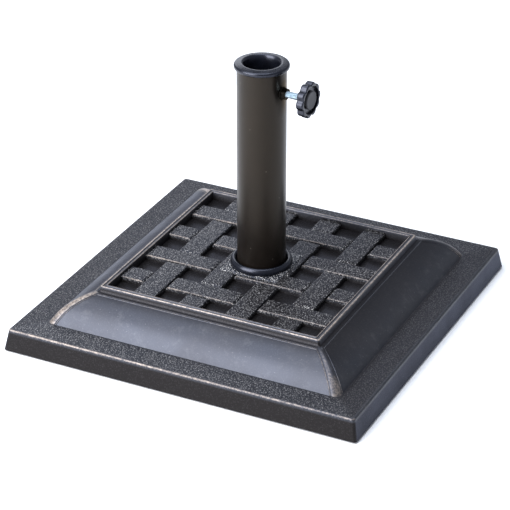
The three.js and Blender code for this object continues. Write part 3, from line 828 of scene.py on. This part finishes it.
def makeStemTube():
    columns, span = stem["columns"], stem["holeSpan"]
    width = 2 * math.pi * stem["radius"] / columns
    rows = [tubeBox[0].z, tubeBox[0].z + 12, 65, 80, 110, 150, 190, 230, 262, 276]
    rows += [screwHeight + width * i for i in range(-span, span + 1)] + [303, 312, tubeBox[1].z]
    bm = bmesh.new()
    nutShadeLayer = bm.verts.layers.float.new("nutShade")
    bmesh.ops.create_grid(bm, x_segments=columns, y_segments=len(rows) - 1, size=1)
    inHole = []
    for v in bm.verts:
        along = ((v.co.x + 1) / 2 * columns - columns / 2) * width
        z = rows[round((v.co.y + 1) / 2 * (len(rows) - 1))]
        far = max(abs(along), abs(z - screwHeight)) / width
        # painted shade on the tube round the nut
        v[nutShadeLayer] = between(math.hypot(along, 0.6 * (z - screwHeight)), [(8.0, 0.9), (14.0, 0.0)])
        if far < span - 0.5:
            inHole.append(v)
        elif far < span + 0.5:
            out = Vector((along, z - screwHeight)).normalized() * stem["screwHole"]
            along, z = out.x, screwHeight + out.y
        angle = screwTurn + along / stem["radius"]
        v.co = (stem["radius"] * math.cos(angle), stem["radius"] * math.sin(angle), z)
    bmesh.ops.delete(bm, geom=inHole, context="VERTS")
    bmesh.ops.remove_doubles(bm, verts=bm.verts, dist=1e-3)
    bmesh.ops.recalc_face_normals(bm, faces=bm.faces)
    bmesh.ops.solidify(bm, geom=bm.faces[:], thickness=stem["wall"])
    finishPiece(bm, "stemTube", "stand", "powder_coated_steel", ["stem_tube"])


makeStemTube()

ringBox = nodeBox("foot_ring")
footRing = {"outer": ringBox[1].x, "inner": stem["radius"] + gap,
            "low": ringBox[0].z, "high": ringBox[1].z}


def makeFootRing():
    half = (footRing["outer"] - footRing["inner"]) / 2
    middle, tall = footRing["inner"] + half, footRing["high"] - footRing["low"]
    points = []
    for angle in range(-10, 191, 10):
        turn = math.radians(angle)
        z = footRing["low"] + 0.5 + (tall - 0.5) * max(0.0, math.sin(turn))
        points.append((middle + half * math.cos(turn), z))
    points[0] = (footRing["outer"] - 0.3, footRing["low"])
    points[-1] = (footRing["inner"], footRing["low"])
    finishPiece(spun(points), "footRing", "stand", "black_plastic", ["foot_ring"])


makeFootRing()

collarBox = nodeBox("top_collar")
collar = {
    "flange": collarBox[1].x,
    "top": collarBox[1].z,
    "low": collarBox[0].z,
    "flangeThick": 6.5,
    "mouth": 23.0,
    "throat": 21.5,
    "bore": 19.75,
    "guide": 21.75,
    "skirt": stem["radius"] - stem["wall"] - gap,
    "wall": 2.0,
    "edge": 2.6,
    "slope": 1.1,            # fall of the flange's top towards its edge
}


def makeCollar():
    top, low, edge = collar["top"], collar["low"], collar["edge"]
    flangeZ = top - collar["flangeThick"]
    points = [(collar["bore"], low + 0.4), (collar["bore"] + 0.4, low), (collar["guide"], low),
              (collar["guide"], flangeZ), (collar["skirt"] - collar["wall"], flangeZ),
              (collar["skirt"] - collar["wall"], low), (collar["skirt"] - 0.5, low),
              (collar["skirt"], low + 0.6), (collar["skirt"], flangeZ)]
    points += arc((collar["flange"] - 1.5, flangeZ + 1.5), 1.5, -90, 0, 6)
    points += arc((collar["flange"] - edge, top - edge - collar["slope"]), edge, 0, 76, 8)
    points += [(27.5, top - collar["slope"] * 0.62), (25.0, top - collar["slope"] * 0.2)]
    points += [(collar["mouth"] + 0.6, top), (collar["mouth"], top - 0.2), (collar["mouth"] - 0.6, top - 0.6)]
    points += [(collar["throat"], top - 1.5), (collar["throat"] - 0.6, top - 3.5), (collar["bore"], top - 8)]
    finishPiece(spun(points), "topCollar", "collar", "black_plastic", ["top_collar"])


makeCollar()

clampParts = {
    "nutFlats": 13.0,
    "nutFace": 34.0,
    "hole": 4.3,
    "tipFace": 21.8,
    "tipBack": 25.6,
    "tipRadius": 5.5,
    "lobeTurn": math.radians(21),   # a lobe's place, from the top towards the front
}
studSize = {"radius": 4.0, "depth": 0.45, "pitch": 1.25, "threaded": 30.5,
            "length": 34.9, "flats": 13.0, "head": 5.0}
studStart = 23.6             # tip of the stud, from the stem's axis


def tubeFace(x, y):
    # height of the stem's surface under a part drawn along +Z, with the usual gap
    return math.sqrt(stem["radius"] ** 2 - y * y) + gap


def shadeAll(bm):
    # paints shade over a whole part: the nut and the weld bead are dark all over
    layer = bm.verts.layers.float.new("nutShade")
    for v in bm.verts:
        v[layer] = 0.9


def makeClampNut():
    flats, face, hole = clampParts["nutFlats"], clampParts["nutFace"], clampParts["hole"]
    full, eased = hexagon(flats, 7.4), hexagon(flats, 6.9)
    rows = [(full, tubeFace), (full, face - 0.9), (eased, face - 0.25), (6.3, face),
            (hole + 0.7, face), (hole, face - 0.6), (hole, tubeFace)]
    bm = ontoScrew(drawnRings(rows, 72, "bridge"))
    shadeAll(bm)
    finishPiece(bm, "clampNut", "stand", "powder_coated_steel", ["clamp_nut"])


def makeWeldBead():
    # lumpy fillet weld that holds the nut on the tube
    def lumps(base, share):
        return lambda angle: base + share * (0.35 * math.sin(9 * angle) + 0.25 * math.sin(14 * angle + 1))

    def above(lift):
        return lambda x, y: tubeFace(x, y) - gap + lift
    rows = [(lumps(7.0, 0.1), above(-0.2)), (lumps(8.1, 0.7), above(-0.2)), (lumps(8.05, 0.7), above(0.2)),
            (lumps(7.8, 0.5), above(0.6)), (lumps(7.4, 0.3), above(0.95)), (lumps(7.0, 0.1), above(1.0))]
    bm = ontoScrew(drawnRings(rows, 120, "bridge"))
    shadeAll(bm)
    finishPiece(bm, "weldBead", "stand", "powder_coated_steel")


def makeClampStud():
    bm = drawnRings(screwRows(studSize), 36, "caps")
    bmesh.ops.translate(bm, vec=(0, 0, studStart), verts=bm.verts)
    ontoScrew(bm, clampParts["lobeTurn"])
    finishPiece(bm, "clampStud", "clamp_screw", "zinc_plated_steel", ["clamp_stud"])


def makeClampTip():
    face, back, radius = clampParts["tipFace"], clampParts["tipBack"], clampParts["tipRadius"]
    hole, pocket = clampParts["hole"], studStart - gap
    rows = [(radius - 2.4, face), (radius - 0.8, face + 0.1), (radius - 0.2, face + 0.4),
            (radius, face + 0.9), (radius, back - 0.3), (radius - 0.3, back), (hole, back), (hole, pocket)]
    bm = ontoScrew(drawnRings(rows, 48, "caps"))
    finishPiece(bm, "clampTip", "pressure_pad", "white_nylon", ["clamp_tip"])


knob = {
    "lobes": 10,
    "radius": 21.4,
    "lobeDepth": 2.4,
    "back": 57.0,
    "front": 66.0,
    "hubBack": 55.5,
    "hubRadius": 8.0,
    "hollow": 5.0,
    "rimInner": 16.6,
    "faceRadius": 16.5,
    "faceRecess": 3.4,
    "capRadius": 11.0,
    "capFront": 66.2,
}


def makeKnob():
    def lobed(radius, share):
        def radiusAt(angle):
            valley = (0.5 - 0.5 * math.cos(knob["lobes"] * angle)) ** 1.5
            return radius - share * knob["lobeDepth"] * valley
        return radiusAt
    back, front, full = knob["back"], knob["front"], knob["radius"]
    inner, face = knob["rimInner"], knob["faceRadius"]
    floor, web = front - knob["faceRecess"], back + knob["hollow"]
    pocket, hub = studSize["flats"] + 0.6, knob["hubRadius"]
    headSeat, hubBack = studStart + studSize["length"] - gap, knob["hubBack"]
    rows = [(inner, web), (inner, back + 0.5), (inner + 0.25, back + 0.12), (lobed(inner + 0.9, 0.2), back),
            (lobed(full - 1.2, 0.9), back), (lobed(full - 0.5, 0.97), back + 0.3),
            (lobed(full - 0.1, 1), back + 0.9), (lobed(full, 1), back + 2), (lobed(full, 1), front - 2),
            (lobed(full - 0.1, 1), front - 1.1), (lobed(full - 0.4, 0.98), front - 0.55),
            (lobed(full - 0.9, 0.94), front - 0.2), (lobed(full - 1.6, 0.85), front),
            (lobed(face + 0.9, 0.2), front), (face + 0.4, front - 0.12), (face + 0.1, front - 0.45),
            (face, floor), (hexagon(pocket), floor), (hexagon(pocket), headSeat),
            (clampParts["hole"], headSeat), (clampParts["hole"], hubBack),
            (hub - 0.5, hubBack), (hub, hubBack + 0.5), (hub, web)]
    bm = ontoScrew(drawnRings(rows, 240, "bridge"), clampParts["lobeTurn"])
    finishPiece(bm, "clampKnob", "clamp_screw", "black_plastic", ["clamp_knob"])


def makeKnobCap():
    low, front, radius = knob["front"] - knob["faceRecess"] + gap, knob["capFront"], knob["capRadius"]
    dish = front - 0.12
    rows = [(radius - 0.4, low), (radius, low + 0.4), (radius, front - 0.7), (radius - 0.2, front - 0.3),
            (radius - 0.7, front - 0.06), (radius - 1.6, front), (radius - 2.2, dish), (3.0, dish)]
    bm = ontoScrew(drawnRings(rows, 96, "caps"))
    finishPiece(bm, "knobCap", "clamp_screw", "grey_plastic", ["knob_cap"])


makeClampNut()
makeWeldBead()
makeClampStud()
makeClampTip()
makeKnob()
makeKnobCap()

anchorBox = nodeBox("anchor_bolt")
anchorSize = {"radius": 5.0, "depth": 0.75, "pitch": 1.5, "threaded": 30.0, "flats": 17.0, "head": 6.4}
anchorSize["length"] = anchorBox[1].z - anchorBox[0].z - anchorSize["head"]
anchorHole = anchorSize["radius"] + gap


def makeAnchorBolt():
    bm = drawnRings(screwRows(anchorSize), 36, "caps")
    bmesh.ops.rotate(bm, cent=(0, 0, 0), matrix=Matrix.Rotation(math.pi, 3, "X"), verts=bm.verts)
    bmesh.ops.translate(bm, vec=(0, 0, anchorBox[1].z), verts=bm.verts)
    finishPiece(bm, "anchorBolt", "stand", "zinc_plated_steel", ["anchor_bolt"])


def makeFlatRing(name, node, slotName, inner, edge, steps=64):
    # a washer, plate or liner: a turned ring in a node's box, with its four edges eased
    low, high = nodeBox(node)
    outer = high.x
    points = [(inner, low.z + edge), (inner + edge, low.z), (outer - edge, low.z), (outer, low.z + edge),
              (outer, high.z - edge), (outer - edge, high.z), (inner + edge, high.z), (inner, high.z - edge)]
    finishPiece(spun(points, steps), name, "stand", slotName, [node], sharpAngle=50)


def makeSpringWasher():
    low, high = nodeBox("spring_washer")
    outer, inner = high.y, anchorHole
    bm = bmesh.new()
    bmesh.ops.create_grid(bm, x_segments=1, y_segments=1, size=0.5)
    bmesh.ops.scale(bm, vec=(outer - inner, 1.9, 1), verts=bm.verts)
    bmesh.ops.rotate(bm, cent=(0, 0, 0), matrix=Matrix.Rotation(math.pi / 2, 3, "X"), verts=bm.verts)
    bmesh.ops.translate(bm, vec=((outer + inner) / 2, 0, low.z + 0.95), verts=bm.verts)
    steps, split = 48, math.radians(14)
    bmesh.ops.spin(bm, geom=bm.verts[:] + bm.edges[:] + bm.faces[:], axis=(0, 0, 1), cent=(0, 0, 0),
                   dvec=(0, 0, (high.z - low.z - 1.9) / steps), steps=steps, angle=2 * math.pi - split)
    bmesh.ops.rotate(bm, cent=(0, 0, 0), matrix=Matrix.Rotation(split / 2, 3, "Z"), verts=bm.verts)
    finishPiece(bm, "springWasher", "stand", "zinc_plated_steel", ["spring_washer"])


def makeFloorNut():
    low, high = nodeBox("floor_nut")
    flats, hole = anchorSize["flats"], anchorHole
    wide = flats / math.sqrt(3)
    full, eased = hexagon(flats, wide), hexagon(flats, wide * 0.94)
    rows = [(hole, low.z + 0.7), (hole + 0.7, low.z), (flats * 0.46, low.z), (eased, low.z + 0.3),
            (full, low.z + 1), (full, high.z - 1), (eased, high.z - 0.3), (flats * 0.46, high.z),
            (hole + 0.7, high.z), (hole, high.z - 0.7)]
    bm = drawnRings(rows, 72, "bridge")
    finishPiece(bm, "floorNut", "stand", "zinc_plated_steel", ["floor_nut"])


def makeFootPad(node, number):
    low, high = nodeBox(node)
    radius = (high.x - low.x) / 2
    rows = [(0.9, 0.9)]
    for groove in (4.5, 8.5, 12.5):     # shallow grip grooves in the underside
        rows += [(groove - 1.6, 0.9), (groove - 1.2, 0.0), (groove + 0.6, 0.0), (groove + 1.0, 0.9)]
    rows += [(radius - 1.8, 0.0), (radius - 0.9, 0.15), (radius - 0.15, 0.8), (radius, 1.6)]
    rows += [(radius, high.z - 0.4), (radius - 0.4, high.z), (4.0, high.z)]
    bm = drawnRings(rows, 64, "caps")
    bmesh.ops.translate(bm, vec=((low.x + high.x) / 2, (low.y + high.y) / 2, low.z), verts=bm.verts)
    finishPiece(bm, f"footPad{number}", "stand", "foot_rubber", [node])


def makeStemSocket():
    low, high = nodeBox("stem_socket")
    outer, inner, floor, hole = high.x, stem["radius"] + gap, low.z + 3, anchorHole + gap
    points = [(hole, low.z), (outer - 0.8, low.z), (outer, low.z + 0.8), (outer, high.z),
              (inner + 0.6, high.z), (inner, high.z - 0.6), (inner, floor + 1), (inner - 1, floor),
              (hole, floor)]
    finishPiece(spun(points), "stemSocket", "stand", "black_plastic", ["stem_socket"])


makeAnchorBolt()
makeFlatRing("anchorWasher", "anchor_washer", "zinc_plated_steel", anchorHole, 0.3)
makeFlatRing("stemFloor", "stem_floor", "zinc_plated_steel", anchorHole, 0.4)
makeFlatRing("boltSleeve", "bolt_sleeve", "grey_plastic", anchorHole, 0.2)
makeSpringWasher()
makeFloorNut()
for number in range(1, 5):
    makeFootPad(f"foot_pad_{number}", number)
makeStemSocket()

for name, node in frame["nodes"].items():
    wanted = next((s["material_slot"] for s in record["subparts"] if s["node"] == name), None)
    for slot in node.material_slots:
        slot.material = finishes[wanted]
